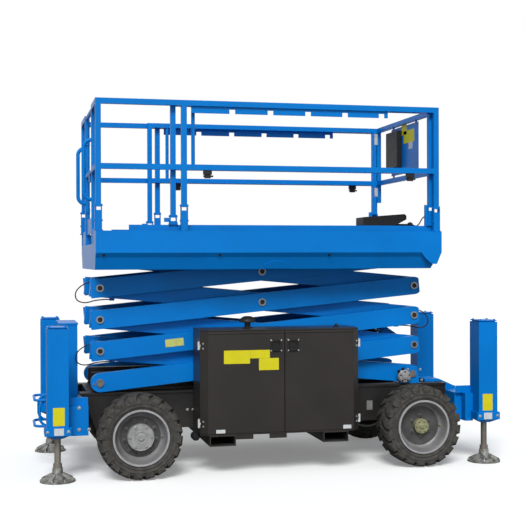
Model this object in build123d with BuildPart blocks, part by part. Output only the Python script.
from build123d import *
import math
import os

os.makedirs("parts", exist_ok=True)

# Rough-terrain scissor lift. Millimetres, +X towards the steered end, +Z up. The origin lies on
# the ground under the middle of the machine; the machine is alike on both sides of Y = 0.

# ---------------------------------------------------------------- driving dimensions
SEAT = 0.3              # gap left where one piece is seated on another
RUN = 0.1               # radial clearance of a turning or sliding fit
OPEN_PIN = 2.0          # radial clearance at the pivots the linkage is opened at
AXLE_MID_X = 50.0       # middle between the two axles
WHEELBASE = 2296.0
TRACK = 1445.0          # between the middles of the two tyres of an axle
TYRE_D = 660.0
TYRE_W = 305.0
LUG_HEIGHT = 22.0
LUGS_PER_SIDE = 18
RIM_D = 438.0
RIM_DEPTH = 105.0       # from the rim's outer edge in to its disc
HUB_R = 45.0
SPINDLE_R = 35.0
KINGPIN_Y = 600.0
KINGPIN_R = 20.0
AXLE_SIZE = 110.0
AXLE_END_Y = 545.0
EAR_T = 22.0

CHASSIS_X = (-1530.0, 1577.7)
CHASSIS_Z = (330.0, 632.0)
RAIL_Y = (330.0, 392.0)         # chassis side members, inner and outer face
FLANGE_T = 18.0
POCKET_X = (-455.0, 466.0)      # middles of the two fork pockets
POCKET_W = 207.0
POCKET_H = 84.0
POCKET_WALL = 8.0

STAGES = 4
PIN_LEFT_X = -1373.0
PIN_RIGHT_X = 1282.0
BASE_PIN_Z = 713.0
STAGE_RISE = 252.0
ARM_DEPTH = 150.0
ARM_WIDTH = 60.0
OUTER_Y = (360.0, 420.0)
INNER_Y = (285.0, 345.0)
ARM_CUT = 48.0                  # how far an arm's short end stands beyond its pin
ARM_TAIL = 72.0                 # how far its long end does
PIN_R = 26.0
CAP_R = 31.0
CAP_T = 11.0
CAP_HOLE_R = 20.0
TUBE_R = 36.0                   # cross tubes between the two inner arms of a stage
TUBE_SPOTS = {1: (0.30, -0.30), 2: (0.05, -0.30), 3: (0.30, -0.30), 4: (0.30, 0.05)}  # shares of the length
BLOCK_Y = (208.0, 268.0)        # sliding blocks
BLOCK_SIZE = (120.0, 106.0)
TRACK_Y = (192.0, 274.0)
TRACK_T = 10.0
TRACK_X = (-1426.0, 50.0)

CYL_BASE = (0.10, -35.0)        # share of the inner arm's length, height above its middle line
CYL_EYE = (0.45, 110.0)
BARREL_R = 42.0
BARREL_WALL = 7.0
ROD_R = 25.0
EYE_R = 42.0
EYE_W = 90.0
CYL_PIN_R = 25.0
LUG_T = 18.0

HOSE_R = 5.0
HOSE_Y = -271.0
GLAND_R = 11.0
GLAND_LEN = 40.0
# Hose loop round a joint: X and Z from the pin, X counted towards the middle of the machine.
HOSE_ROUTE = ((110, 50), (10, 50), (-100, 45), (-185, -20), (-185, -97), (-110, -127), (-12, -95), (88, -95))
HOSES = {                       # arm that carries the hose, joint number, end of the machine
    "hose_left_low": (1, 1, "left"),
    "hose_left_high": (3, 3, "left"),
    "hose_right_mid": (3, 2, "right"),
}

DECK_X = (-1435.0, 1382.0)
DECK_Y = 798.0
DECK_Z = (1618.0, 1820.0)       # lower edge of the frame, top of the floor
PANEL_TOP_Z = 1920.0
PANEL_T = 8.0
FLOOR_T = 20.0
CREASE_Z = 1749.0
SKIRT_IN = 35.0                 # inward step of the fold under the side panel
SKIRT_SLANT = 48.0              # further inward lean of the skirt down to its lower edge
COVER_X = (-100.0, 130.0)
RAIL_R = 21.5
TOP_RAIL_Z = 2914.5
MID_RAIL_Z = 2415.0
RAIL_BEND = 90.0
MAIN_RAIL_Y = 776.5
MAIN_POSTS_X = (-1414.0, -750.0, 1338.0)
BRACKET_T = 6.0
BRACKET_H = 205.0
FOLD_DROP = 21.0                # from a bracket's top down to the gap in its post
FOLD_GAP = 27.0
FOLD_PIN_R = 7.0
SLOT_PLATE_X = (-690.0, 925.0)  # notched plate under each side's top rail
SLOT_PLATE_Z = 2839.0
SLOTS = 5
SLOT_FIRST_X = -364.5
SLOT_PITCH = 309.0
SLOT_W = 47.0
RAIL_LATCHES_X = (-564.0, 1116.0)
GATE_Y = 350.0
GRAB_REACH = 80.0
GRAB_R = 16.0
GRAB_BEND = 60.0
GRAB_TOP_Z = 2658.0
GRAB_LOW_Z = 2180.0
GATE_PLAY = 8.0
GATE_BAR_R = 12.0
GATE_HINGE_Z = (2120.0, 2700.0)
POST_R = 19.5

EXT_X = (-1174.0, 1382.0)
EXT_FLOOR_Z = (1826.0, 1846.0)
EXT_Y = 725.0
RUNNER_X = (-1150.0, 880.0)     # low ends of the runners the sliding deck lies on
RUNNER_Y = 600.0
RUNNER_SIZE = (260.0, 60.0)
EXT_TOE_Z = 1968.0
EXT_RAIL_Y = 719.0
EXT_POSTS_X = (-828.0, 1360.0)
EXT_RAIL_HALF = 20.0
EXT_BRACKET_H = (77.0, 172.0)    # at the rear and at the front folding posts
LOCK_BAR = 28.0
END_PLATE_T = 5.0
END_PLATE_Y = (-333.0, 346.0)
END_PLATE_Z = (2455.0, 2880.0)
END_STRAPS_Y = (-280.0, 290.0)
HOLDER_DEPTH = 48.0
HOLDER_Y = (70.0, 361.0)
HOLDER_Z = (2522.0, 2845.0)
HAND_TUBE_X = -668.0
HAND_TUBE_R = 15.0
SWITCH_AT = (1275.0, -350.0, 1984.0)
CABLE_ROUTE = (
    (1275, -377, 1984),
    (1275, -440, 1984),
    (1270, -508, 1968),
    (1274, -575, 1990),
    (1279, -640, 2045),
    (1279, -690, 2045),
)

BAY_X = (-627.0, 671.0)
BAY_Y = (450.0, 820.0)
BAY_Z = (318.0, 1144.0)
BAY_WALL = 10.0
BAY_BEVEL = 56.0                # vertical bevels at the outer corners, covered by the doors
BAY_POST = 80.0
SEAM_X = 45.0                   # where the two doors of a bay meet
LIP_Z = 283.0                   # low edge of the plates under a bay's outer face
LIPS_X = ((-350.0, -211.0), (-80.0, 60.0))
DOOR_T = 24.0
DOOR_PLAY = 3.0
DOOR_BEAD_R = 7.0
LATCH_OUT = 70.0                # from the seam to the middle of each latch
LATCH_Z = 1015.0
BREATHER_X = -213.0
BREATHER_Y = -620.0
BREATHER_R = 68.0
BREATHER_H = 96.0
HINGE_OUT = 9.5
HINGE_R = 8.0
HINGE_PIN_R = 4.0
HINGE_LEAF_T = 5.0
HINGE_LEAF = 14.0               # how far a door hinge's leaf runs back over the bevel
HINGE_HALF = 32.0               # half the height of a door hinge
HINGE_SPLIT = 8.0               # where its two knuckles meet, above its middle
HINGE_Z = (410.0, 1020.0)

BEAM_FRONT_X = (1578.0, 1708.0)
BEAM_REAR_X = (-1638.0, -1485.0)
BEAM_Z = (337.0, 568.0)
BEAM_NOTCH = (590.0, 1640.0)    # the front beam is cut back from here outwards, clear of the steered tyres
TIE_X = 42.0                    # tie-down lugs: hole centre from the beam's outer face
TIE_Y = 300.0
TIE_Z = 452.0
TIE_R = 32.0
TIE_HOLE_R = 18.0
TIE_T = 16.0
JACK_X = (1790.0, -1723.0)      # middles of the front and the rear outrigger tubes
JACK_Y = (613.0, 800.0)
JACK_LEN = 164.0
JACK_WALL = 10.0
JACK_Z = (372.0, 1170.0)
TOWER_X = (-1684.0, -1540.0)    # upright housing over the rear beam
TOWER_Y = 240.0
TOWER_TOP_Z = 1171.0
STEP_Y = 215.0                  # half width of the rear steps
STEP_Z = (352.0, 560.0)
STEP_R = 11.0
STEP_REACH_X = -1880.0
LEG_R = 25.0
LEG_TOP_Z = 890.0
PAD_R = 135.0
PAD_RIM = 14.0
PAD_DOME_Z = 60.0
PAD_TOP_Z = 104.0
PAD_NECK_R = 40.0
PAD_SIDES = 8
PAD_RIB_T = 10.0
FLANGE_OUT = 18.0
FLANGE_H = 50.0
SKIRT_H = 42.0
BRACE_Y = (60.0, 300.0)         # sloping braces from the chassis to the front beam

# ---------------------------------------------------------------- worked-out dimensions
FRONT_X = AXLE_MID_X + WHEELBASE / 2
REAR_X = AXLE_MID_X - WHEELBASE / 2
WHEEL_Y = TRACK / 2
WHEEL_Z = TYRE_D / 2
ARM_SPAN = PIN_RIGHT_X - PIN_LEFT_X
ARM_LENGTH = math.hypot(ARM_SPAN, STAGE_RISE)
STOW_ANGLE = math.atan2(STAGE_RISE, ARM_SPAN)
SCISSOR_MID_X = (PIN_LEFT_X + PIN_RIGHT_X) / 2
TOP_PIN_Z = BASE_PIN_Z + STAGES * STAGE_RISE


# ---------------------------------------------------------------- shared operations
def block(xs, ys, zs, mode=Mode.ADD):
    """A box between two X, two Y and two Z values."""
    middle = (sum(xs) / 2, sum(ys) / 2, sum(zs) / 2)
    with Locations(middle):
        Box(xs[1] - xs[0], ys[1] - ys[0], zs[1] - zs[0], mode=mode)


def rod(radius, start, end, mode=Mode.ADD):
    """A round bar from one point to another."""
    run = Vector(*end) - Vector(*start)
    with Locations(Plane(origin=Vector(*start) + run * 0.5, z_dir=run)):
        Cylinder(radius, run.length, mode=mode)


def bent_tube(points, radius, bend):
    """A round tube along straight runs joined by arcs."""
    with BuildLine() as path:
        FilletPolyline(*points, radius=bend)
    with BuildSketch(Plane(origin=path.line @ 0, z_dir=path.line % 0)) as section:
        Circle(radius)
    sweep(sections=section.sketch, path=path.line)


def square_bar(start, end, half):
    """A square tube between two points, closed at its corners."""
    spans = [(min(a, b) - half, max(a, b) + half) for a, b in zip(start, end)]
    block(*spans)


def write(part, name):
    """Label a finished piece and write it."""
    part.label = name
    export_step(part, f"parts/{name}.step")


def cord_radii(name, points):
    """The radius of each bend of a cord, as large as its two runs allow."""
    radii = []
    for before, corner, after in zip(points, points[1:], points[2:]):
        turn = (corner - before).get_angle(after - corner)
        shorter = min((corner - before).length, (after - corner).length)
        radii.append(0.45 * shorter / math.tan(math.radians(turn / 2)))
    print(name, "bend radii", [round(radius) for radius in radii])
    return radii


# ---------------------------------------------------------------- wheels
def make_tyre():
    """Lugged tyre about the Y axis, its middle at the origin."""
    tread_r = TYRE_D / 2 - LUG_HEIGHT
    half = TYRE_W / 2
    bead_r = RIM_D / 2 - 8
    with BuildPart() as lug:
        with BuildSketch(Plane.XY.offset(tread_r - 8)):
            with Locations((0, half * 0.5)):
                Rectangle(46, half * 1.04, rotation=24)
        extrude(amount=LUG_HEIGHT + 8)
        with BuildSketch(Plane.XZ):
            Circle(TYRE_D / 2)
        extrude(amount=half - 2, both=True, mode=Mode.INTERSECT)
    other_side = lug.part.mirror(Plane.XZ)
    pitch = 360 / LUGS_PER_SIDE
    with BuildPart() as tyre:
        with BuildSketch(Plane.YZ):
            with BuildLine():
                Polyline(
                    (-half + 30, bead_r),
                    (-half, bead_r + 30),
                    (-half, tread_r - 40),
                    (-half + 35, tread_r),
                    (half - 35, tread_r),
                    (half, tread_r - 40),
                    (half, bead_r + 30),
                    (half - 30, bead_r),
                    close=True,
                )
            make_face()
        revolve(axis=Axis.Y)
        for turn in range(LUGS_PER_SIDE):
            add(lug.part.rotate(Axis.Y, turn * pitch))
            add(other_side.rotate(Axis.Y, (turn + 0.5) * pitch))
    return tyre.part


def make_rim(cap_r, cap_out, studs):
    """Deep-dish rim about the Y axis; its outer side faces -Y."""
    half = TYRE_W / 2
    disc_y = -half + RIM_DEPTH
    rim_r = RIM_D / 2
    barrel_r = rim_r - 8 - SEAT
    with BuildPart() as rim:
        with BuildSketch(Plane.YZ):
            with BuildLine():
                Polyline(
                    (-half + 6, rim_r - 1),
                    (-half + 6, rim_r - 16),
                    (disc_y, rim_r - 34),
                    (disc_y, SPINDLE_R + RUN),
                    (disc_y + 55, SPINDLE_R + RUN),
                    (disc_y + 55, SPINDLE_R + 30),
                    (disc_y + 14, SPINDLE_R + 40),
                    (disc_y + 14, rim_r - 34),
                    (half - 22, rim_r - 24),
                    (half - 22, barrel_r),
                    (-half + 22, barrel_r),
                    (-half + 22, rim_r - 1),
                    close=True,
                )
            make_face()
        revolve(axis=Axis.Y)
        rod(cap_r, (0, disc_y - cap_out, 0), (0, disc_y - SEAT, 0))
        rod(cap_r, (0, disc_y - 1, 0), (0, disc_y + 5, 0))
        with Locations(Plane(origin=(0, disc_y, 0), z_dir=(0, -1, 0))):
            with PolarLocations(cap_r + 24, studs):
                Cylinder(9, 44)
    return rim.part


WHEEL_SPOTS = {
    "near_rear": (REAR_X, -1),
    "near_front": (FRONT_X, -1),
    "far_rear": (REAR_X, 1),
    "far_front": (FRONT_X, 1),
}
tyre_shape = make_tyre()
driven_rim = make_rim(103, 62, 9)
steered_rim = make_rim(60, 46, 6)
for spot, (x, side) in WHEEL_SPOTS.items():
    rim_shape = driven_rim if x == REAR_X else steered_rim
    if side > 0:
        rim_shape = rim_shape.mirror(Plane.XZ)
    place = Location((x, side * WHEEL_Y, WHEEL_Z))
    write(tyre_shape.moved(place), f"tyre_{spot}")
    write(rim_shape.moved(place), f"rim_{spot}")

SPINDLE_END_Y = WHEEL_Y + TYRE_W / 2 - RIM_DEPTH - 6

with BuildPart() as axle_rear:
    half = AXLE_SIZE / 2
    block((REAR_X - half, REAR_X + half), (-AXLE_END_Y, 0), (WHEEL_Z - half, WHEEL_Z + half))
    rod(90, (REAR_X, -AXLE_END_Y - 50, WHEEL_Z), (REAR_X, -AXLE_END_Y + 40, WHEEL_Z))
    rod(SPINDLE_R, (REAR_X, -SPINDLE_END_Y, WHEEL_Z), (REAR_X, -AXLE_END_Y, WHEEL_Z))
    block((REAR_X - 110, REAR_X + 110), (-110, 0), (WHEEL_Z - 95, WHEEL_Z + half - 2))
    mirror(about=Plane.XZ)
write(axle_rear.part, "axle_rear")

EAR_Z = (WHEEL_Z - 105, WHEEL_Z + 105)
with BuildPart() as axle_front:
    half = AXLE_SIZE / 2
    block((FRONT_X - half, FRONT_X + half), (-AXLE_END_Y, 0), (WHEEL_Z - half, WHEEL_Z + half))
    block((FRONT_X - 36, FRONT_X + 36), (-AXLE_END_Y, -AXLE_END_Y + 20), EAR_Z)
    for low in (EAR_Z[0], EAR_Z[1] - EAR_T):
        block((FRONT_X - 36, FRONT_X + 36), (-KINGPIN_Y - 30, -AXLE_END_Y + 20), (low, low + EAR_T))
    rod(KINGPIN_R, (FRONT_X, -KINGPIN_Y, EAR_Z[0]), (FRONT_X, -KINGPIN_Y, EAR_Z[1]))
    mirror(about=Plane.XZ)
write(axle_front.part, "axle_front")

with BuildPart() as knuckle_near:
    rod(34, (FRONT_X, -KINGPIN_Y, EAR_Z[0] + EAR_T + SEAT), (FRONT_X, -KINGPIN_Y, EAR_Z[1] - EAR_T - SEAT))
    rod(62, (FRONT_X, -KINGPIN_Y - 62, WHEEL_Z), (FRONT_X, -KINGPIN_Y, WHEEL_Z))
    rod(SPINDLE_R, (FRONT_X, -SPINDLE_END_Y, WHEEL_Z), (FRONT_X, -KINGPIN_Y, WHEEL_Z))
    rod(KINGPIN_R + RUN, (FRONT_X, -KINGPIN_Y, EAR_Z[0]), (FRONT_X, -KINGPIN_Y, EAR_Z[1]), Mode.SUBTRACT)
write(knuckle_near.part, "knuckle_near")
write(knuckle_near.part.mirror(Plane.XZ), "knuckle_far")

# ---------------------------------------------------------------- chassis
with BuildPart() as chassis_frame:
    with BuildSketch(Plane.XZ.offset(RAIL_Y[0])):
        with BuildLine():
            Polyline(
                (CHASSIS_X[0], CHASSIS_Z[1]),
                (CHASSIS_X[1], CHASSIS_Z[1]),
                (CHASSIS_X[1], CHASSIS_Z[0] + 10),
                (FRONT_X + 250, CHASSIS_Z[0]),
                (CHASSIS_X[0] + 130, CHASSIS_Z[0]),
                close=True,
            )
        make_face()
    extrude(amount=RAIL_Y[1] - RAIL_Y[0])
    block(CHASSIS_X, (-RAIL_Y[1] - 10, -RAIL_Y[0] + 50), (CHASSIS_Z[1] - FLANGE_T, CHASSIS_Z[1]))
    for x in (-1420, -760, 0, 760, 1480):
        block((x - 50, x + 50), (-RAIL_Y[0] - 1, 0), (CHASSIS_Z[0] + 80, CHASSIS_Z[1]))
    block((-1360, 1400), (-RAIL_Y[0] - 1, 0), (CHASSIS_Z[0] + 72, CHASSIS_Z[0] + 80))
    for x in (REAR_X, FRONT_X):
        seat_top = WHEEL_Z + AXLE_SIZE / 2 + SEAT
        block(
            (x - AXLE_SIZE / 2 - 20, x + AXLE_SIZE / 2 + 20),
            (-RAIL_Y[1] - 1, 1),
            (0, seat_top),
            Mode.SUBTRACT,
        )
    block((CHASSIS_X[0] - 1, BEAM_REAR_X[1] + SEAT), (-RAIL_Y[1] - 1, 1), (0, BEAM_Z[1] + SEAT), Mode.SUBTRACT)
    for x in (BAY_X[0] + 120, BAY_X[1] - 120):
        block((x - 40, x + 40), (-BAY_Y[0] + SEAT, -RAIL_Y[1]), (430, 560))
    mirror(about=Plane.XZ)
write(chassis_frame.part, "chassis_frame")

with BuildPart() as fork_pockets:
    top = BAY_Z[0] - SEAT
    for x in POCKET_X:
        block((x - POCKET_W / 2, x + POCKET_W / 2), (-BAY_Y[1], BAY_Y[1]), (top - POCKET_H, top))
        inner = POCKET_W / 2 - POCKET_WALL
        block(
            (x - inner, x + inner),
            (-BAY_Y[1], BAY_Y[1]),
            (top - POCKET_H + POCKET_WALL, top - POCKET_WALL),
            Mode.SUBTRACT,
        )
        for y in (-1, 1):
            middle_y = y * (RAIL_Y[0] + RAIL_Y[1]) / 2
            block((x - 60, x + 60), (middle_y - 25, middle_y + 25), (top - 2, CHASSIS_Z[0] - SEAT))
write(fork_pockets.part, "fork_pockets")

BLOCK_Z = (BASE_PIN_Z - BLOCK_SIZE[1] / 2, BASE_PIN_Z + BLOCK_SIZE[1] / 2)
BRACKET_Y = (INNER_Y[1] + 13, INNER_Y[1] + 35)
with BuildPart() as scissor_base:
    foot = CHASSIS_Z[1] + SEAT
    block(TRACK_X, (-TRACK_Y[1], -TRACK_Y[0]), (foot, BLOCK_Z[0] - 5))
    block(TRACK_X, (-TRACK_Y[0] - TRACK_T, -TRACK_Y[0]), (foot, BLOCK_Z[1] + 5 + TRACK_T))
    block(TRACK_X, (-BLOCK_Y[1] + 8, -TRACK_Y[0]), (BLOCK_Z[1] + 5, BLOCK_Z[1] + 5 + TRACK_T))
    with BuildSketch(Plane.XZ.offset(BRACKET_Y[0])):
        with BuildLine():
            Polyline(
                (PIN_RIGHT_X - 120, foot),
                (PIN_RIGHT_X - 60, BASE_PIN_Z + 62),
                (PIN_RIGHT_X + 45, BASE_PIN_Z + 62),
                (PIN_RIGHT_X + 62, foot),
                close=True,
            )
        make_face()
    extrude(amount=BRACKET_Y[1] - BRACKET_Y[0])
    block((PIN_RIGHT_X - 120, PIN_RIGHT_X + 62), (-BRACKET_Y[1], 0), (foot, foot + 4))
    rod(PIN_R, (PIN_RIGHT_X, -BRACKET_Y[1] - CAP_T, BASE_PIN_Z), (PIN_RIGHT_X, 0, BASE_PIN_Z))
    rod(CAP_R, (PIN_RIGHT_X, -BRACKET_Y[1] - CAP_T, BASE_PIN_Z), (PIN_RIGHT_X, -BRACKET_Y[1], BASE_PIN_Z))
    mirror(about=Plane.XZ)
    block((TRACK_X[0], TRACK_X[0] + 60), (-TRACK_Y[0] - 1, TRACK_Y[0] + 1), (foot, foot + 12))
    block((TRACK_X[1] - 60, TRACK_X[1]), (-TRACK_Y[0] - 1, TRACK_Y[0] + 1), (foot, foot + 12))
    block((TRACK_X[1] - 60, PIN_RIGHT_X), (-20, 20), (foot, foot + 4))
write(scissor_base.part, "scissor_base")

# ---------------------------------------------------------------- outriggers and rear steps
def make_pad(x, y):
    """A cast foot: a flat rim under an eight-sided dome with a rib on each corner."""
    with BuildPart() as rib:
        with BuildSketch(Plane(origin=(x, y, 0), x_dir=(1, 0, 0), z_dir=(0, -1, 0))):
            with BuildLine():
                Polyline(
                    (PAD_NECK_R - 6, PAD_RIM),
                    (PAD_R - 4, PAD_RIM),
                    (PAD_R - 10, PAD_RIM + 16),
                    (PAD_NECK_R + 10, PAD_DOME_Z + 6),
                    (PAD_NECK_R - 6, PAD_DOME_Z + 6),
                    close=True,
                )
            make_face()
        extrude(amount=PAD_RIB_T / 2, both=True)
    upright = Axis((x, y, 0), (0, 0, 1))
    with BuildPart() as pad:
        with Locations((x, y, PAD_RIM / 2)):
            Cylinder(PAD_R, PAD_RIM)
        with BuildSketch(Plane.XY.offset(PAD_RIM)):
            with Locations((x, y)):
                RegularPolygon(PAD_R - 16, PAD_SIDES)
        with BuildSketch(Plane.XY.offset(PAD_DOME_Z)):
            with Locations((x, y)):
                RegularPolygon(PAD_NECK_R + 2, PAD_SIDES)
        loft()
        rod(PAD_NECK_R, (x, y, PAD_RIM), (x, y, PAD_TOP_Z))
        for turn in range(PAD_SIDES):
            add(rib.part.rotate(upright, (turn + 0.5) * 360 / PAD_SIDES))
    return pad.part


JACK_MID_Y = -(JACK_Y[0] + JACK_Y[1]) / 2
for name, beam_x, jack_x in (("front", BEAM_FRONT_X, JACK_X[0]), ("rear", BEAM_REAR_X, JACK_X[1])):
    with BuildPart() as frame:
        tube_x = (jack_x - JACK_LEN / 2, jack_x + JACK_LEN / 2)
        tube_y = (-JACK_Y[1], -JACK_Y[0])
        block(beam_x, (-JACK_Y[0] - 60, 0), BEAM_Z)
        if name == "front":
            notch_y = (-JACK_Y[0] - 61, -BEAM_NOTCH[0])
            block((beam_x[0] - 1, BEAM_NOTCH[1]), notch_y, (BEAM_Z[0] - 1, BEAM_Z[1] + 1), Mode.SUBTRACT)
        block(tube_x, tube_y, JACK_Z)
        # tie-down lug on the beam's outer face
        away = 1 if name == "front" else -1
        face_x = beam_x[1] if away > 0 else beam_x[0]
        tie_z = (TIE_Z - TIE_T / 2, TIE_Z + TIE_T / 2)
        tie_x = face_x + away * TIE_X
        block(sorted((face_x - away, tie_x)), (-TIE_Y - TIE_R, -TIE_Y + TIE_R), tie_z)
        rod(TIE_R, (tie_x, -TIE_Y, tie_z[0]), (tie_x, -TIE_Y, tie_z[1]))
        rod(TIE_HOLE_R, (tie_x, -TIE_Y, tie_z[0] - 1), (tie_x, -TIE_Y, tie_z[1] + 1), Mode.SUBTRACT)
        # flange at the tube's lower end, with a tapered skirt under it
        low = JACK_Z[0]
        flange_x = (tube_x[0] - FLANGE_OUT, tube_x[1] + FLANGE_OUT)
        flange_y = (tube_y[0] - FLANGE_OUT / 2, tube_y[1] + FLANGE_OUT / 2)
        block(flange_x, flange_y, (low - 12, low + FLANGE_H))
        with BuildSketch(Plane.XY.offset(low - 12)):
            with Locations((jack_x, JACK_MID_Y)):
                Rectangle(flange_x[1] - flange_x[0] - 16, flange_y[1] - flange_y[0] - 16)
        with BuildSketch(Plane.XY.offset(low - SKIRT_H)):
            with Locations((jack_x, JACK_MID_Y)):
                Rectangle(2 * LEG_R + 26, 2 * LEG_R + 26)
        loft()
        # cap plate on a narrower neck
        neck_z = (JACK_Z[1], JACK_Z[1] + 8)
        block((tube_x[0] + 14, tube_x[1] - 14), (tube_y[0] + 14, tube_y[1] - 14), neck_z)
        block((tube_x[0] + 4, tube_x[1] - 4), (tube_y[0] + 4, tube_y[1] - 4), (neck_z[1], neck_z[1] + 8))
        with Locations((jack_x, JACK_MID_Y, neck_z[1] + 11)):
            with GridLocations(JACK_LEN - 40, JACK_LEN - 20, 2, 2):
                Cylinder(9, 8)
        block(
            (tube_x[0] + JACK_WALL, tube_x[1] - JACK_WALL),
            (tube_y[0] + JACK_WALL, tube_y[1] - JACK_WALL),
            (JACK_Z[0] + JACK_WALL, JACK_Z[1] - JACK_WALL),
            Mode.SUBTRACT,
        )
        leg_hole = ((jack_x, JACK_MID_Y, low - SKIRT_H - 1), (jack_x, JACK_MID_Y, low + JACK_WALL + 1))
        rod(LEG_R + RUN, *leg_hole, Mode.SUBTRACT)
        # gusset between beam and tube
        gusset_x = sorted((
            tube_x[0] if name == "front" else tube_x[1],
            beam_x[0] if name == "front" else beam_x[1],
        ))
        block(gusset_x, (-JACK_Y[0] - 10, -JACK_Y[0] + 2), (BEAM_Z[1], BEAM_Z[1] + 60))
        if name == "front":
            with BuildSketch(Plane.XZ.offset(BRACE_Y[0])):
                with BuildLine():
                    Polyline(
                        (beam_x[0] - 150, CHASSIS_Z[1] + SEAT),
                        (beam_x[0] - 150, CHASSIS_Z[1] + 22),
                        (beam_x[0] - 20, CHASSIS_Z[1] + 22),
                        (beam_x[1] - 8, BEAM_Z[1] + 22),
                        (beam_x[1], BEAM_Z[1] + 22),
                        (beam_x[1], BEAM_Z[1] - 1),
                        (beam_x[0] + 1, BEAM_Z[1] - 1),
                        (beam_x[0] + 1, CHASSIS_Z[1] + SEAT),
                        close=True,
                    )
                make_face()
            extrude(amount=BRACE_Y[1] - BRACE_Y[0])
        mirror(about=Plane.XZ)
    write(frame.part, f"outrigger_frame_{name}")
    with BuildPart() as leg:
        add(make_pad(jack_x, JACK_MID_Y))
        rod(LEG_R, (jack_x, JACK_MID_Y, PAD_RIM), (jack_x, JACK_MID_Y, LEG_TOP_Z))
        rod(LEG_R + 9, (jack_x, JACK_MID_Y, PAD_TOP_Z - 4), (jack_x, JACK_MID_Y, PAD_TOP_Z + 34))
    write(leg.part, f"leg_near_{name}")
    write(leg.part.mirror(Plane.XZ), f"leg_far_{name}")

with BuildPart() as rear_steps:
    block(TOWER_X, (-TOWER_Y, TOWER_Y), (BEAM_Z[1] + SEAT, TOWER_TOP_Z))
    block((TOWER_X[0] - 6, TOWER_X[1] + 6), (-TOWER_Y - 6, TOWER_Y + 6), (TOWER_TOP_Z, TOWER_TOP_Z + 14))
    back = (BEAM_REAR_X[0] - SEAT - 14, BEAM_REAR_X[0] - SEAT)
    block(back, (-STEP_Y, STEP_Y), (STEP_Z[0] - 20, STEP_Z[-1] + 60))
    for z in STEP_Z:
        loop = [(back[0] + 6, -STEP_Y + 20, z), (STEP_REACH_X, -STEP_Y + 20, z)]
        loop += [(STEP_REACH_X, STEP_Y - 20, z), (back[0] + 6, STEP_Y - 20, z)]
        bent_tube(loop, STEP_R, 60)
    for side in (-1, 1):
        y = side * (STEP_Y - 34)
        post = [(back[0] + 6, y, STEP_Z[0]), (STEP_REACH_X + 40, y, STEP_Z[0])]
        post += [(STEP_REACH_X + 40, y, STEP_Z[-1]), (back[0] + 6, y, STEP_Z[-1])]
        bent_tube(post, STEP_R, 70)
write(rear_steps.part, "rear_steps")

# ---------------------------------------------------------------- equipment bays and doors
def bay_outline(inset):
    """Plan of a near bay; inset draws its outer face and bevels in behind the doors."""
    slant = inset * (math.sqrt(2) - 1)
    front = -BAY_Y[1] + inset
    shoulder = -BAY_Y[1] + BAY_BEVEL
    return [
        (BAY_X[0], -BAY_Y[0]),
        (BAY_X[1], -BAY_Y[0]),
        (BAY_X[1], shoulder),
        (BAY_X[1] - inset * math.sqrt(2), shoulder),
        (BAY_X[1] - BAY_BEVEL - slant, front),
        (BAY_X[0] + BAY_BEVEL + slant, front),
        (BAY_X[0] + inset * math.sqrt(2), shoulder),
        (BAY_X[0], shoulder),
    ]


HINGE_Y = -BAY_Y[1] + BAY_BEVEL
with BuildPart() as bay:
    with BuildSketch(Plane.XY.offset(BAY_Z[0])):
        Polygon(*bay_outline(DOOR_T + 1), align=None)
    extrude(amount=BAY_Z[1] - BAY_Z[0])
    room_x = (BAY_X[0] + BAY_WALL, BAY_X[1] - BAY_WALL)
    room_z = (BAY_Z[0] + BAY_WALL, BAY_Z[1] - BAY_WALL)
    block(room_x, (HINGE_Y + BAY_WALL, -BAY_Y[0] - BAY_WALL), room_z, Mode.SUBTRACT)
    block((BAY_X[0] + BAY_POST, BAY_X[1] - BAY_POST), (-BAY_Y[1], HINGE_Y + BAY_WALL + 1), room_z, Mode.SUBTRACT)
    for low in (BAY_Z[0], BAY_Z[1] - BAY_WALL):
        with BuildSketch(Plane.XY.offset(low)):
            Polygon(*bay_outline(0)[:3], *bay_outline(0)[4:6], bay_outline(0)[7], align=None)
        extrude(amount=BAY_WALL)
    block((SEAM_X - 12, SEAM_X + 12), (-BAY_Y[1] + DOOR_T + 1, -BAY_Y[1] + DOOR_T + 31), BAY_Z)
    for lip_x in LIPS_X:
        block(lip_x, (-BAY_Y[1] + 2, -BAY_Y[1] + 10), (LIP_Z, BAY_Z[0] + 1))
    for x, out in ((BAY_X[0], -1), (BAY_X[1], 1)):
        leaf_x = sorted((x, x + out * HINGE_LEAF_T))
        axis_x = x + out * HINGE_OUT
        for z in HINGE_Z:
            top = z + HINGE_HALF
            split = z + HINGE_SPLIT + SEAT
            block(leaf_x, (HINGE_Y, HINGE_Y + 60), (split, top))
            rod(HINGE_R, (axis_x, HINGE_Y, split), (axis_x, HINGE_Y, top))
            rod(HINGE_PIN_R, (axis_x, HINGE_Y, z - HINGE_HALF), (axis_x, HINGE_Y, top))
write(bay.part, "bay_near")
write(bay.part.mirror(Plane.XZ), "bay_far")

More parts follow.
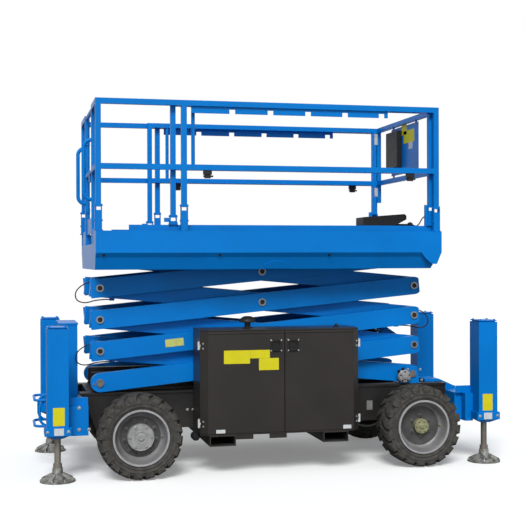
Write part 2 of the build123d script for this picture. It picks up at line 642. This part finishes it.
DOOR_Z = (BAY_Z[0] + BAY_WALL + DOOR_PLAY, BAY_Z[1] - BAY_WALL - DOOR_PLAY)
for name, side in (("rear", -1), ("front", 1)):
    edge = BAY_X[0] if side < 0 else BAY_X[1]
    axis_x = edge + side * HINGE_OUT
    seam = SEAM_X + side * DOOR_PLAY
    slant = DOOR_T * (math.sqrt(2) - 1)
    with BuildPart() as door:
        with BuildSketch(Plane.XY.offset(DOOR_Z[0])):
            Polygon(
                (seam, -BAY_Y[1]),
                (edge - side * BAY_BEVEL, -BAY_Y[1]),
                (edge, HINGE_Y),
                (edge - side * DOOR_T * math.sqrt(2), HINGE_Y),
                (edge - side * (BAY_BEVEL + slant), -BAY_Y[1] + DOOR_T),
                (seam, -BAY_Y[1] + DOOR_T),
                align=None,
            )
        extrude(amount=DOOR_Z[1] - DOOR_Z[0])
        bead_z = DOOR_Z[1] - 2 * DOOR_BEAD_R
        rod(DOOR_BEAD_R, (seam, -BAY_Y[1] + 2, bead_z), (edge - side * BAY_BEVEL, -BAY_Y[1] + 2, bead_z))
        latch_x = SEAM_X + side * LATCH_OUT
        block((latch_x - 48, latch_x + 48), (-BAY_Y[1] - 4, -BAY_Y[1]), (LATCH_Z - 48, LATCH_Z + 48))
        block((latch_x - 33, latch_x + 33), (-BAY_Y[1] - 16, -BAY_Y[1]), (LATCH_Z - 42, LATCH_Z + 42))
        block(
            (latch_x - 26, latch_x + 26),
            (-BAY_Y[1] - 17, -BAY_Y[1] - 6),
            (LATCH_Z - 6, LATCH_Z + 32),
            Mode.SUBTRACT,
        )
        block((latch_x - 24, latch_x + 24), (-BAY_Y[1] - 20, -BAY_Y[1] - 15), (LATCH_Z - 16, LATCH_Z - 8))
        with Locations(Plane(origin=(latch_x, -BAY_Y[1] - 5, LATCH_Z), z_dir=(0, -1, 0))):
            with GridLocations(82, 82, 2, 2):
                Cylinder(6, 6)
        for z in HINGE_Z:
            low = z - HINGE_HALF
            split = z + HINGE_SPLIT
            leaf_x = sorted((edge - side * HINGE_LEAF, axis_x))
            block(leaf_x, (HINGE_Y - HINGE_LEAF_T, HINGE_Y), (low, split))
            rod(HINGE_R, (axis_x, HINGE_Y, low), (axis_x, HINGE_Y, split))
            rod(HINGE_PIN_R + RUN, (axis_x, HINGE_Y, low), (axis_x, HINGE_Y, split), Mode.SUBTRACT)
    write(door.part, f"door_near_{name}")
    write(door.part.mirror(Plane.XZ), f"door_far_{name}")

# breather with a mushroom cap on the near bay's roof
with BuildPart() as breather:
    with BuildSketch(Plane.XZ):
        with BuildLine():
            Polyline(
                (0, 0),
                (36, 0),
                (36, 8),
                (24, 8),
                (24, 40),
                (BREATHER_R, 48),
                (BREATHER_R, 58),
            )
            ThreePointArc((BREATHER_R, 58), (48, 84), (14, BREATHER_H))
            Polyline((14, BREATHER_H), (0, BREATHER_H), (0, 0))
        make_face()
    revolve(axis=Axis.Z)
write(breather.part.moved(Location((BREATHER_X, BREATHER_Y, BAY_Z[1] + SEAT))), "breather")

with BuildPart() as engine_block:
    block((-540, -60), (-750, -500), (BAY_Z[0] + BAY_WALL + SEAT, 860))
write(engine_block.part, "engine_block")

with BuildPart() as tank_block:
    block((120, 580), (500, 750), (BAY_Z[0] + BAY_WALL + SEAT, 800))
write(tank_block.part, "tank_block")


# ---------------------------------------------------------------- scissor linkage
def arm_plane(stage, rise, y):
    """Side plane of a stage's arms; they rise towards +X (rise = 1) or towards -X (rise = -1)."""
    middle = (SCISSOR_MID_X, -y, BASE_PIN_Z + (stage - 0.5) * STAGE_RISE)
    along = (math.cos(STOW_ANGLE), 0, rise * math.sin(STOW_ANGLE))
    return Plane(origin=middle, x_dir=along, z_dir=(0, -1, 0))


def arm_bar(stage, rise, ys, ends):
    """One rectangular arm. ends gives, for its left and right end, "round", "short" or "long"."""
    with BuildSketch(arm_plane(stage, rise, ys[0])) as side:
        Rectangle(ARM_LENGTH, ARM_DEPTH)
        for direction, kind in zip((-1, 1), ends):
            with Locations((direction * ARM_LENGTH / 2, 0)):
                if kind == "long":
                    Rectangle(2 * ARM_TAIL, ARM_DEPTH)
                else:
                    Circle(ARM_DEPTH / 2)
            if kind == "short":
                with Locations((direction * (ARM_LENGTH / 2 + ARM_CUT + ARM_DEPTH / 2), 0)):
                    Rectangle(ARM_DEPTH, ARM_DEPTH, mode=Mode.SUBTRACT)
    extrude(side.sketch, amount=ys[1] - ys[0])


def cross_bar(stage, rise, along, radius, ys, up=0, mode=Mode.ADD):
    """A round bar across the arms at a place along them."""
    with BuildSketch(arm_plane(stage, rise, ys[0])) as section:
        with Locations((along, up)):
            Circle(radius)
    extrude(section.sketch, amount=ys[1] - ys[0], mode=mode)


def lug_plate(stage, rise, start, end, ys, radius):
    """A rounded plate joining two points beside the arms."""
    with BuildSketch(arm_plane(stage, rise, ys[0])) as side:
        for spot in (start, end):
            with Locations(spot):
                Circle(radius)
        make_hull()
    extrude(side.sketch, amount=ys[1] - ys[0])


def hose_points(level, end):
    """The route of a hose loop at a joint: its level in the stack and the machine's end."""
    pin_x, inward = (PIN_LEFT_X, 1) if end == "left" else (PIN_RIGHT_X, -1)
    pin_z = BASE_PIN_Z + level * STAGE_RISE
    return [Vector(pin_x + inward * x, HOSE_Y, pin_z + z) for x, z in HOSE_ROUTE]


def hose_glands(level, end):
    """The two glands a hose loop runs between, on a foot welded to the inner arm."""
    inward = 1 if end == "left" else -1
    points = hose_points(level, end)
    for mouth, foot_up in ((points[0], 10), (points[-1], 45)):
        back = mouth + Vector(inward * GLAND_LEN, 0, 0)
        rod(GLAND_R, tuple(mouth), tuple(back))
        foot_x = sorted((mouth.X + inward * 8, back.X - inward * 4))
        block(foot_x, (-INNER_Y[0] - 8, HOSE_Y), (mouth.Z - 8, mouth.Z + foot_up))


HALF = ARM_LENGTH / 2
PLATE_Y = (EYE_W / 2 + 5, EYE_W / 2 + 5 + LUG_T)
for stage in range(1, STAGES + 1):
    with BuildPart() as outer:
        arm_bar(stage, 1, OUTER_Y, ("round" if stage == 1 else "long", "short"))
        cross_bar(stage, 1, HALF, PIN_R, (0, OUTER_Y[1]))
        cross_bar(stage, 1, 0, PIN_R, (INNER_Y[0] - 8, OUTER_Y[1]))
        for along in (-HALF, 0, HALF):
            cross_bar(stage, 1, along, CAP_R, (OUTER_Y[1], OUTER_Y[1] + CAP_T))
            cross_bar(stage, 1, along, CAP_HOLE_R, (OUTER_Y[1] + 2, OUTER_Y[1] + CAP_T), 0, Mode.SUBTRACT)
        if stage == 1:
            cross_bar(stage, 1, -HALF, PIN_R, (BLOCK_Y[0], OUTER_Y[1]))
            cross_bar(stage, 1, -HALF, BLOCK_SIZE[1] / 2, BLOCK_Y)
            eye = (CYL_EYE[0] * ARM_LENGTH, CYL_EYE[1])
            lug_plate(stage, 1, (HALF, 0), eye, PLATE_Y, 42)
            cross_bar(stage, 1, eye[0], CYL_PIN_R, (PLATE_Y[0], PLATE_Y[1] + 12), eye[1])
        else:
            cross_bar(stage, 1, -HALF, PIN_R, (0, OUTER_Y[1]))
        mirror(about=Plane.XZ)
    write(outer.part, f"arm_outer_{stage}")

    with BuildPart() as inner:
        arm_bar(stage, -1, INNER_Y, ("short" if stage == STAGES else "long", "short"))
        for share in TUBE_SPOTS[stage]:
            cross_bar(stage, -1, share * ARM_LENGTH, TUBE_R, (0, INNER_Y[0] + 5))
        for along in (0, HALF):
            cross_bar(stage, -1, along, PIN_R + RUN, (INNER_Y[0] - 9, INNER_Y[1] + 9), 0, Mode.SUBTRACT)
        if stage == STAGES:
            cross_bar(stage, -1, -HALF, PIN_R, (BLOCK_Y[0], INNER_Y[1]))
            cross_bar(stage, -1, -HALF, BLOCK_SIZE[1] / 2, BLOCK_Y)
        else:
            hole_r = PIN_R + OPEN_PIN
            cross_bar(stage, -1, -HALF, hole_r, (INNER_Y[0] - 9, INNER_Y[1] + 9), 0, Mode.SUBTRACT)
        if stage == 1:
            base = (CYL_BASE[0] * ARM_LENGTH, CYL_BASE[1])
            cross_bar(stage, -1, base[0], CYL_PIN_R, (0, INNER_Y[0] + 5), base[1])
            cross_bar(stage, -1, base[0], CYL_PIN_R + 12, (EYE_W / 2 + 5, INNER_Y[0] + 5), base[1])
        mirror(about=Plane.XZ)
        for carrier, level, end in HOSES.values():
            if carrier == stage:
                hose_glands(level, end)
    write(inner.part, f"arm_inner_{stage}")

for name, (carrier, level, end) in HOSES.items():
    points = hose_points(level, end)
    radii = cord_radii(name, points)
    with BuildPart() as hose:
        with BuildLine() as route:
            FilletPolyline(*points, radius=radii)
        with BuildSketch(Plane(origin=route.line @ 0, z_dir=route.line % 0)):
            Circle(HOSE_R)
        sweep(path=route.line)
    write(hose.part, name)


def arm_point(stage, rise, along, up):
    """The world X and Z of a place given along and above an arm's middle line."""
    point = arm_plane(stage, rise, 0).from_local_coords((along, up, 0))
    return (point.X, point.Z)


cyl_low = arm_point(1, -1, CYL_BASE[0] * ARM_LENGTH, CYL_BASE[1])
cyl_high = arm_point(1, 1, CYL_EYE[0] * ARM_LENGTH, CYL_EYE[1])
cyl_run = math.hypot(cyl_high[0] - cyl_low[0], cyl_high[1] - cyl_low[1])
cyl_plane = Plane(
    origin=(cyl_low[0], 0, cyl_low[1]),
    x_dir=(cyl_high[0] - cyl_low[0], 0, cyl_high[1] - cyl_low[1]),
    z_dir=(0, -1, 0),
)
BARREL_X = (EYE_R - 12, cyl_run - EYE_R - 24)


def along_cylinder(radius, start, end, mode=Mode.ADD):
    """A round length of the lift cylinder, measured from its lower pin."""
    low = cyl_plane.from_local_coords((start, 0, 0))
    high = cyl_plane.from_local_coords((end, 0, 0))
    rod(radius, tuple(low), tuple(high), mode)


def cylinder_eye(place, hole_r):
    """An eye at one end of the lift cylinder."""
    with BuildSketch(cyl_plane) as eye:
        with Locations((place, 0)):
            Circle(EYE_R)
    extrude(eye.sketch, amount=EYE_W / 2, both=True)
    with BuildSketch(cyl_plane) as hole:
        with Locations((place, 0)):
            Circle(hole_r)
    extrude(hole.sketch, amount=EYE_W / 2 + 60, both=True, mode=Mode.SUBTRACT)


with BuildPart() as lift_barrel:
    along_cylinder(BARREL_R, BARREL_X[0], BARREL_X[1])
    along_cylinder(BARREL_R + 8, BARREL_X[1] - 50, BARREL_X[1])
    along_cylinder(BARREL_R - BARREL_WALL, EYE_R + 40, BARREL_X[1] - 40, Mode.SUBTRACT)
    along_cylinder(ROD_R + RUN, BARREL_X[1] - 60, BARREL_X[1] + 10, Mode.SUBTRACT)
    cylinder_eye(0, CYL_PIN_R + RUN)
write(lift_barrel.part, "lift_barrel")

with BuildPart() as lift_rod:
    along_cylinder(ROD_R, 390, cyl_run - 10)
    along_cylinder(BARREL_R - BARREL_WALL - RUN, 370, 410)
    cylinder_eye(cyl_run, CYL_PIN_R)
write(lift_rod.part, "lift_rod")

# ---------------------------------------------------------------- platform
FOLD_Y = -DECK_Y + SKIRT_IN
FOLD_Z = CREASE_Z - SKIRT_IN
SKIRT_FOOT_Y = FOLD_Y + SKIRT_SLANT
SKIRT_LEAN = math.hypot(SKIRT_SLANT, FOLD_Z - DECK_Z[0])
NOSE_CUT = (58.0, 133.0)        # bevel at the skirt's front lower corner


def make_skirt():
    """The sheet under a side panel: folded in at the crease, then leaning in to its lower edge."""
    with BuildPart() as skirt:
        with BuildSketch(Plane.YZ.offset(DECK_X[0] + 1)):
            with BuildLine():
                Polyline(
                    (-DECK_Y, CREASE_Z + 1),
                    (-DECK_Y, CREASE_Z),
                    (FOLD_Y, FOLD_Z),
                    (SKIRT_FOOT_Y, DECK_Z[0]),
                    (SKIRT_FOOT_Y + PANEL_T, DECK_Z[0]),
                    (FOLD_Y + PANEL_T, FOLD_Z),
                    (-DECK_Y + PANEL_T, CREASE_Z),
                    (-DECK_Y + PANEL_T, CREASE_Z + 1),
                    close=True,
                )
            make_face()
        extrude(amount=DECK_X[1] - DECK_X[0] - PANEL_T - 1)
        nose_x = DECK_X[1] - PANEL_T
        with BuildSketch(Plane.XZ.offset(-SKIRT_FOOT_Y - 2 * PANEL_T)):
            with BuildLine():
                Polyline(
                    (nose_x - NOSE_CUT[0], DECK_Z[0]),
                    (nose_x + 1, DECK_Z[0] + NOSE_CUT[1] + 2),
                    (nose_x + 1, DECK_Z[0] - 1),
                    (nose_x - NOSE_CUT[0], DECK_Z[0] - 1),
                    close=True,
                )
            make_face()
        extrude(amount=DECK_Y, mode=Mode.SUBTRACT)
        leaning = Plane(
            origin=(0, SKIRT_FOOT_Y, DECK_Z[0]),
            x_dir=(1, 0, 0),
            z_dir=(0, DECK_Z[0] - FOLD_Z, -SKIRT_SLANT),
        )
        with BuildSketch(leaning):
            with BuildLine():
                Polyline(
                    (COVER_X[0], 6),
                    (COVER_X[0], SKIRT_LEAN * 0.38),
                    (COVER_X[0] + 70, SKIRT_LEAN * 0.70),
                    (COVER_X[1] - 70, SKIRT_LEAN * 0.70),
                    (COVER_X[1], SKIRT_LEAN * 0.38),
                    (COVER_X[1], 6),
                    close=True,
                )
            make_face()
        extrude(amount=6)
    return skirt.part


with BuildPart() as platform_deck:
    block((DECK_X[0], DECK_X[1] - 1), (-DECK_Y + PANEL_T - 1, 0), (DECK_Z[1] - FLOOR_T, DECK_Z[1]))
    # outer side panel: its lower edge steps up along the middle and comes down at the front corner
    with BuildSketch(Plane.XZ.offset(DECK_Y - PANEL_T)):
        with BuildLine():
            Polyline(
                (DECK_X[0], PANEL_TOP_Z),
                (DECK_X[1], PANEL_TOP_Z),
                (DECK_X[1], DECK_Z[0] + NOSE_CUT[1]),
                (DECK_X[1] - 42, DECK_Z[0] + 36),
                (DECK_X[1] - 84, DECK_Z[0] + 36),
            )
            ThreePointArc(
                (DECK_X[1] - 84, DECK_Z[0] + 36),
                (DECK_X[1] - 128, DECK_Z[0] + 72),
                (DECK_X[1] - 176, CREASE_Z),
            )
            Polyline((DECK_X[1] - 176, CREASE_Z), (DECK_X[0], CREASE_Z), (DECK_X[0], PANEL_TOP_Z))
        make_face()
    extrude(amount=PANEL_T)
    add(make_skirt())
    block(DECK_X, (-DECK_Y, -DECK_Y + 26), (PANEL_TOP_Z - 5, PANEL_TOP_Z))
    with BuildSketch(Plane.YZ.offset(DECK_X[0])):
        with BuildLine():
            Polyline(
                (0, DECK_Z[0]),
                (0, DECK_Z[1]),
                (-DECK_Y + 1, DECK_Z[1]),
                (-DECK_Y + 1, CREASE_Z),
                (FOLD_Y + 1, FOLD_Z),
                (SKIRT_FOOT_Y + 1, DECK_Z[0]),
                close=True,
            )
        make_face()
    extrude(amount=PANEL_T)
    block((DECK_X[1] - PANEL_T, DECK_X[1]), (-DECK_Y + 1, 0), (DECK_Z[0] + NOSE_CUT[1], DECK_Z[1]))
    block((DECK_X[0], DECK_X[1] - 70), (-500, -450), (DECK_Z[0] + 22, DECK_Z[1] - FLOOR_T + 1))
    low_flange = TOP_PIN_Z - BLOCK_SIZE[1] / 2 - 5
    roof = DECK_Z[1] - FLOOR_T + 1
    block(TRACK_X, (-TRACK_Y[0] - TRACK_T, -TRACK_Y[0]), (low_flange - TRACK_T, roof))
    block(TRACK_X, (-BLOCK_Y[1] + 8, -TRACK_Y[0]), (low_flange - TRACK_T, low_flange))
    with BuildSketch(Plane.XZ.offset(INNER_Y[1] - 25)):
        with BuildLine():
            Polyline(
                (PIN_RIGHT_X - 90, roof),
                (PIN_RIGHT_X - 45, TOP_PIN_Z - 50),
                (PIN_RIGHT_X + 45, TOP_PIN_Z - 50),
                (PIN_RIGHT_X + 80, roof),
                close=True,
            )
        make_face()
    extrude(amount=25)
    hole = (PIN_RIGHT_X, -INNER_Y[1] - 5, TOP_PIN_Z)
    rod(PIN_R + RUN, hole, (PIN_RIGHT_X, -INNER_Y[0], TOP_PIN_Z), Mode.SUBTRACT)
    mirror(about=Plane.XZ)
write(platform_deck.part, "platform_deck")

POST_FOOT_Z = PANEL_TOP_Z + SEAT


def fold_bracket(x, y, foot, height=BRACKET_H):
    """The channel at a folding post's foot: two cheeks, a foot plate, two cross pins and the split post."""
    outer = RAIL_R + BRACKET_T
    gap_z = foot + height - FOLD_DROP - FOLD_GAP
    block((x - RAIL_R, x + RAIL_R), (y - RAIL_R - 1, y + RAIL_R + 1), (gap_z, gap_z + FOLD_GAP), Mode.SUBTRACT)
    for side in (-1, 1):
        face = x + side * RAIL_R
        cheek = sorted((face, face + side * BRACKET_T))
        block(cheek, (y - RAIL_R - 6, y + RAIL_R - 2), (foot, foot + height))
    block((x - outer - 8, x + outer + 8), (y - RAIL_R, y + RAIL_R - 2), (foot, foot + 8))
    for pin_z in ((foot + gap_z) / 2, foot + height - FOLD_DROP / 2):
        rod(FOLD_PIN_R, (x - outer - 7, y - 4, pin_z), (x + outer + 7, y - 4, pin_z))

GATE_EDGE_Y = GATE_Y - POST_R - GATE_PLAY - GATE_BAR_R
with BuildPart() as rails_near:
    y = -MAIN_RAIL_Y
    rear_x, mid_x, front_x = MAIN_POSTS_X
    for z in (TOP_RAIL_Z, MID_RAIL_Z):
        square_bar((rear_x, y, z), (front_x, y, z), RAIL_R)
    for x in MAIN_POSTS_X:
        square_bar((x, y, POST_FOOT_Z + RAIL_R), (x, y, TOP_RAIL_Z), RAIL_R)
        fold_bracket(x, y, POST_FOOT_Z)
    block((SLOT_PLATE_X[0], SLOT_PLATE_X[1]), (y - 3, y + 3), (SLOT_PLATE_Z, TOP_RAIL_Z - 10))
    for step in range(SLOTS):
        x = SLOT_FIRST_X + SLOT_PITCH * step
        block(
            (x - SLOT_W / 2, x + SLOT_W / 2),
            (y - 4, y + 4),
            (SLOT_PLATE_Z - 1, SLOT_PLATE_Z + 34),
            Mode.SUBTRACT,
        )
write(rails_near.part, "rails_near")
write(rails_near.part.mirror(Plane.XZ), "rails_far")

with BuildPart() as rail_latches:
    top = MID_RAIL_Z - RAIL_R - SEAT
    for x in RAIL_LATCHES_X:
        block((x - 33, x + 33), (-MAIN_RAIL_Y - 16, -MAIN_RAIL_Y + 16), (top - 34, top))
        block((x - 24, x + 24), (-MAIN_RAIL_Y - 10, -MAIN_RAIL_Y + 10), (top - 62, top - 33))
        rod(7, (x - 33, -MAIN_RAIL_Y, top - 46), (x + 45, -MAIN_RAIL_Y, top - 46))
    mirror(about=Plane.XZ)
write(rail_latches.part, "rail_latches")

with BuildPart() as rails_rear:
    x = MAIN_POSTS_X[0]
    side_y = MAIN_RAIL_Y - RAIL_R - SEAT
    for z in (TOP_RAIL_Z, MID_RAIL_Z):
        block((x - RAIL_R, x + RAIL_R), (-side_y, -GATE_Y), (z - RAIL_R, z + RAIL_R))
    square_bar((x, -GATE_Y, DECK_Z[1] + SEAT + POST_R), (x, -GATE_Y, TOP_RAIL_Z), POST_R)
    block((x - 15, x + 15), (-side_y, -GATE_Y), (DECK_Z[1] + SEAT, DECK_Z[1] + 120))
    bent_tube(
        [
            (x, -GATE_Y, GRAB_TOP_Z),
            (x - GRAB_REACH, -GATE_Y, GRAB_TOP_Z),
            (x - GRAB_REACH, -GATE_Y, GRAB_LOW_Z),
            (x, -GATE_Y, GRAB_LOW_Z),
        ],
        GRAB_R,
        GRAB_BEND,
    )
    mirror(about=Plane.XZ)
    for z in GATE_HINGE_Z:
        rod(GATE_BAR_R + 8, (x, GATE_EDGE_Y, z - 20), (x, GATE_EDGE_Y, z + 20))
        block((x - 6, x + 6), (GATE_EDGE_Y + GATE_BAR_R + 2, GATE_Y - 5), (z - 20, z + 20))
        rod(GATE_BAR_R + RUN, (x, GATE_EDGE_Y, z - 21), (x, GATE_EDGE_Y, z + 21), Mode.SUBTRACT)
write(rails_rear.part, "rails_rear")

with BuildPart() as gate:
    x = MAIN_POSTS_X[0]
    edge = GATE_EDGE_Y
    low = DECK_Z[1] + 90
    for z in (TOP_RAIL_Z, MID_RAIL_Z):
        rod(18, (x, -edge, z), (x, edge, z))
    for y in (-edge, edge):
        rod(GATE_BAR_R, (x, y, low), (x, y, TOP_RAIL_Z + 18))
    block((x - 5, x + 5), (-edge, edge), (low, low + 130))
    block((x - 14, x + 14), (-80, 20), (2340, 2430))
write(gate.part, "gate")

# ---------------------------------------------------------------- sliding extension
with BuildPart() as extension_deck:
    block(EXT_X, (-EXT_Y, 0), EXT_FLOOR_Z)
    block(EXT_X, (-EXT_Y, -EXT_Y + 8), (EXT_FLOOR_Z[0], EXT_TOE_Z))
    block((EXT_X[1] - 10, EXT_X[1]), (-EXT_Y, 0), (EXT_FLOOR_Z[0], EXT_TOE_Z))
    for x in RUNNER_X:
        block((x, x + RUNNER_SIZE[0]), (-RUNNER_Y - RUNNER_SIZE[1], -RUNNER_Y), (DECK_Z[1] + SEAT, EXT_FLOOR_Z[0]))
    mirror(about=Plane.XZ)
write(extension_deck.part, "extension_deck")

with BuildPart() as extension_rails:
    rear_x, front_x = EXT_POSTS_X
    y = -EXT_RAIL_Y
    foot = EXT_TOE_Z + SEAT
    half = EXT_RAIL_HALF
    for z in (TOP_RAIL_Z, MID_RAIL_Z):
        square_bar((rear_x, y, z), (front_x, y, z), half)
        square_bar((front_x, y, z), (front_x, 0, z), half)
    lock_x = front_x - 2 * RAIL_R - 4
    for x, height in zip((rear_x, lock_x), EXT_BRACKET_H):
        square_bar((x, y, foot + half), (x, y, TOP_RAIL_Z), half)
        fold_bracket(x, y, foot, height)
    block(
        (lock_x - half - LOCK_BAR, lock_x - half),
        (y - LOCK_BAR / 2, y + LOCK_BAR / 2),
        (foot, foot + EXT_BRACKET_H[1]),
    )
    block((rear_x - half - 50, rear_x - half), (y - 12, y + 12), (foot + 22, foot + 54))
    square_bar((front_x, y, MID_RAIL_Z - 165), (front_x, y, TOP_RAIL_Z), half)
    with Locations((HAND_TUBE_X, y, (TOP_RAIL_Z + MID_RAIL_Z) / 2)):
        Cylinder(HAND_TUBE_R, TOP_RAIL_Z - MID_RAIL_Z)
    mirror(about=Plane.XZ)
    cable_end = CABLE_ROUTE[-1]
    rod(GLAND_R, cable_end, (cable_end[0], y, cable_end[2]))
write(extension_rails.part, "extension_rails")

# plate hung between the end rails by two straps, with the manual holder on its inner face
with BuildPart() as end_plate:
    plate_x = (EXT_POSTS_X[1] - END_PLATE_T / 2, EXT_POSTS_X[1] + END_PLATE_T / 2)
    block(plate_x, END_PLATE_Y, END_PLATE_Z)
    strap_z = (MID_RAIL_Z + EXT_RAIL_HALF + SEAT, TOP_RAIL_Z - EXT_RAIL_HALF - SEAT)
    for y in END_STRAPS_Y:
        block(plate_x, (y - 20, y + 20), strap_z)
write(end_plate.part, "end_plate")

with BuildPart() as manual_holder:
    x = plate_x[0] - SEAT
    block((x - HOLDER_DEPTH, x), HOLDER_Y, HOLDER_Z)
write(manual_holder.part, "manual_holder")

# operator's console: a sloping head on a short pedestal, with a round switch housing beside it
with BuildPart() as control_box:
    floor = EXT_FLOOR_Z[1] + SEAT
    block((940, 1060), (-400, -300), (floor, 2000))
    block((910, 1090), (-430, -270), (floor, floor + 10))
    with BuildSketch(Plane.XZ.offset(250)):
        with BuildLine():
            Polyline((822, 1976), (822, 2048), (1188, 2076), (1206, 2062), (1206, 2030), (1100, 1976), close=True)
        make_face()
        fillet(vertices(), 8)
    extrude(amount=200)
    rod(12, (1110, *SWITCH_AT[1:]), SWITCH_AT)
    with Locations(SWITCH_AT):
        Sphere(27)
    rod(GLAND_R, SWITCH_AT, CABLE_ROUTE[0])
write(control_box.part, "control_box")

cable_points = [Vector(*point) for point in CABLE_ROUTE]
cable_radii = cord_radii("control_cable", cable_points)
with BuildPart() as control_cable:
    with BuildLine() as route:
        FilletPolyline(*cable_points, radius=cable_radii)
    with BuildSketch(Plane(origin=route.line @ 0, z_dir=route.line % 0)):
        Circle(HOSE_R)
    sweep(path=route.line)
write(control_cable.part, "control_cable")
